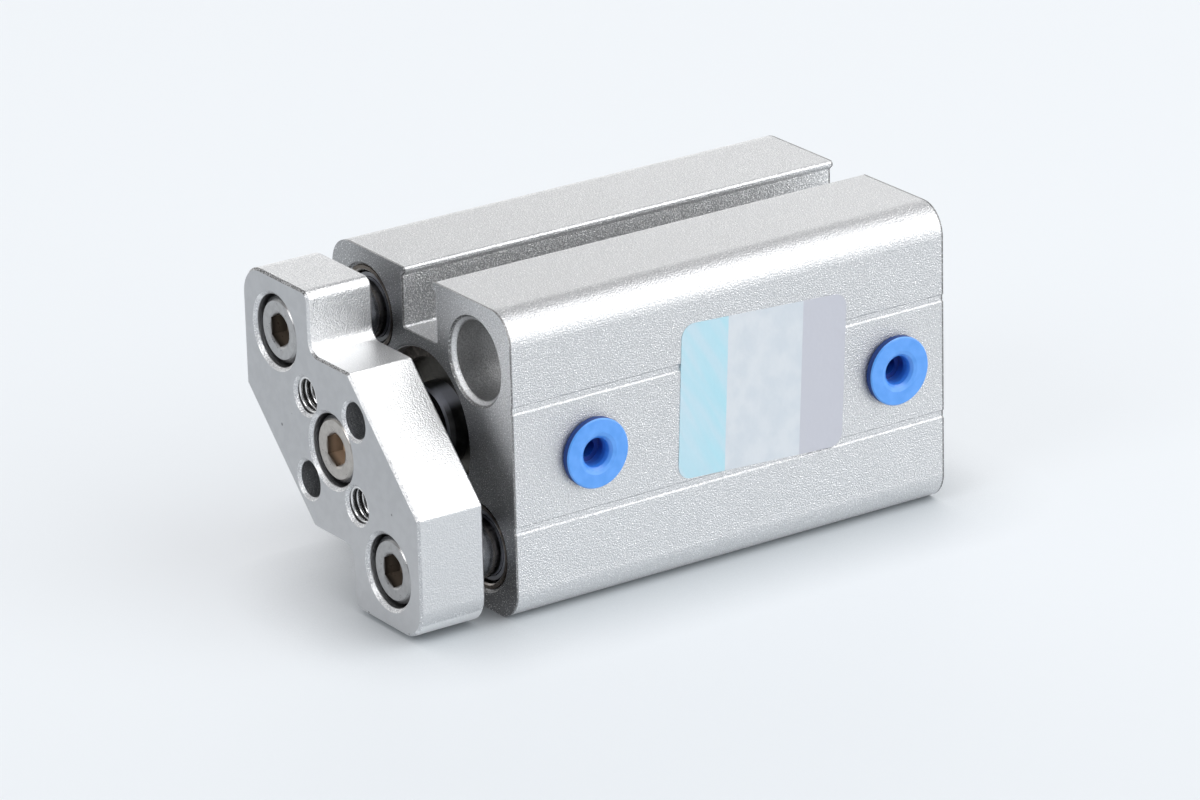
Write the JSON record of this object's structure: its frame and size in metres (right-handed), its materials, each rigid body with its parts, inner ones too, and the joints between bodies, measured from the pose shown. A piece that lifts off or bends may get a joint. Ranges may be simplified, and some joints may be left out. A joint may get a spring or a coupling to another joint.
{
  "type": "guided pneumatic cylinder",
  "caption": "Square compact air cylinder with a zigzag tool plate on its piston rod and two guide rods, a sensor slot on top and two plugged side ports.",
  "frame": {"origin": "on the piston axis, in the body's front mounting face", "axes": "+Y along the piston axis to the body's rear, so the plate travels towards -Y; +X towards the port side; +Z towards the sensor slot side"},
  "size_m": [0.0262, 0.0507, 0.0254],
  "materials": {
    "body_aluminium": "fine bead-blasted, clear anodised",
    "plate_aluminium": "bead-blasted sides, smooth machined face",
    "cover_alloy": "turned, brownish hard anodised",
    "piston_alloy": "turned",
    "ground_steel": "hard-chromed and ground",
    "screw_steel": "turned steel, plated",
    "spring_steel": "dark phosphated",
    "bush_bronze": "sintered bronze",
    "seal_rubber": "matt black",
    "lip_rubber": "glossy black, greased",
    "plug_plastic": "bright blue moulded"
  },
  "bodies": {
    "barrel": {"body_tube": "body_aluminium", "rod_cover": "cover_alloy", "rod_cover_o_ring": "seal_rubber", "rod_seal": "lip_rubber", "front_retaining_ring": "spring_steel", "rear_cover": "cover_alloy", "rear_cover_o_ring": "seal_rubber", "rear_retaining_ring": "spring_steel", "rear_bumper": "seal_rubber", "guide_bush_upper": "bush_bronze", "guide_bush_lower": "bush_bronze", "guide_wiper_upper": "lip_rubber", "guide_wiper_lower": "lip_rubber", "guide_retainer_upper": "spring_steel", "guide_retainer_lower": "spring_steel"},
    "rod_group": {"end_plate": "plate_aluminium", "piston_rod": "ground_steel", "piston": "piston_alloy", "piston_seal": "seal_rubber", "front_bumper": "seal_rubber", "guide_rod_upper": "ground_steel", "guide_rod_lower": "ground_steel", "rod_screw": "screw_steel", "guide_screws": "screw_steel"},
    "plug_front": {"port_plug_front": "plug_plastic"},
    "plug_rear": {"port_plug_rear": "plug_plastic"}
  },
  "joints": [
    {"name": "rod_slide", "type": "slide", "parent": "barrel", "child": "rod_group", "axis": [0, -1, 0], "range_m": [0, 0.025]},
    {"name": "plug_front_pull", "type": "slide", "parent": "barrel", "child": "plug_front", "axis": [1, 0, 0], "range_m": [0, 0.006]},
    {"name": "plug_rear_pull", "type": "slide", "parent": "barrel", "child": "plug_rear", "axis": [1, 0, 0], "range_m": [0, 0.006]}
  ]
}
